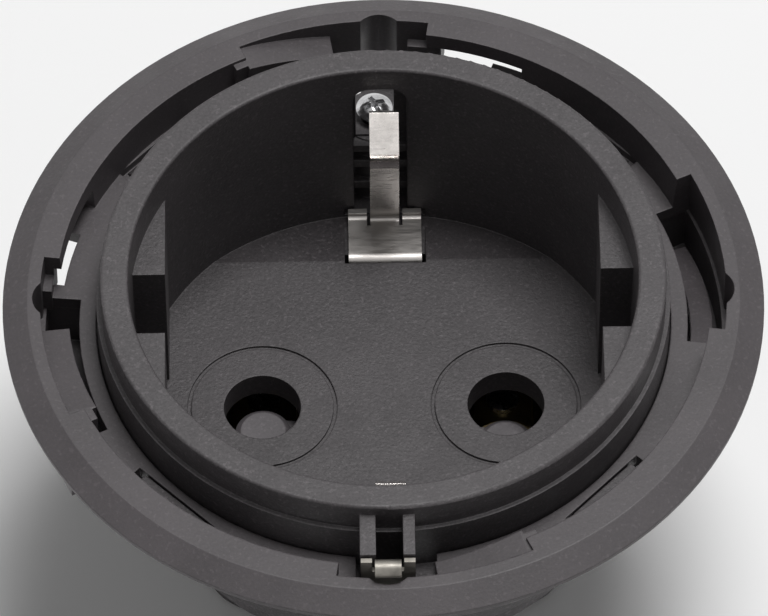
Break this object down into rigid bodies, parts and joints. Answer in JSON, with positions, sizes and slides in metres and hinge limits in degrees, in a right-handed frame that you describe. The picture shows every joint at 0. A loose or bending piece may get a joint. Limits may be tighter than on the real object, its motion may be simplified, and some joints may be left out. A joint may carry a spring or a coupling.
{
  "type": "flush-mounting power socket insert",
  "caption": "Round flush-mounting power socket insert with a deep plug recess, side earth clips and a bayonet flange ring.",
  "frame": {"origin": "on the socket's axis, in the plane where the flange's underside meets its panel", "axes": "+Z out of the front of the socket along its axis, +X along the line of the two pin holes, +Y towards the screw in its boss outside the cup"},
  "size_m": [0.0584, 0.0584, 0.0394],
  "materials": {
    "body_plastic": "fine matt, dark grey",
    "ring_plastic": "fine matt, dark grey",
    "housing_plastic": "fine matt, dark grey",
    "shutter_plastic": "smooth, dark grey",
    "clip_steel": "nickel-plated, satin",
    "spring_steel": "dull spring steel",
    "brass_strip": "satin",
    "rivet_metal": "satin",
    "contact_brass": "satin",
    "terminal_brass": "satin, machined",
    "screw_steel": "bright zinc-plated"
  },
  "bodies": {
    "socket": {"socket_body": "body_plastic", "bayonet_ring": "ring_plastic", "rear_housing": "housing_plastic", "earth_bracket": "clip_steel", "bonding_spring": "spring_steel", "earth_link": "brass_strip", "strap_rivets": "rivet_metal", "foot_rivets": "rivet_metal", "line_contact": "contact_brass", "neutral_contact": "contact_brass", "line_contact_spring": "spring_steel", "neutral_contact_spring": "spring_steel", "line_terminal": "terminal_brass", "earth_terminal": "terminal_brass", "neutral_terminal": "terminal_brass", "terminal_screws": "screw_steel", "housing_screws": "screw_steel", "front_screw": "screw_steel", "shutter_spring": "spring_steel"},
    "shutter": {"shutter": "shutter_plastic"}
  },
  "joints": [
    {"name": "shutter_turn", "type": "hinge", "parent": "socket", "child": "shutter", "pos_m": [0, 0, -0.019], "axis": [0, 0, 1], "range_deg": [0, 35], "stiffness_Nm_per_rad": 0.01, "springref_deg": -20.05}
  ]
}
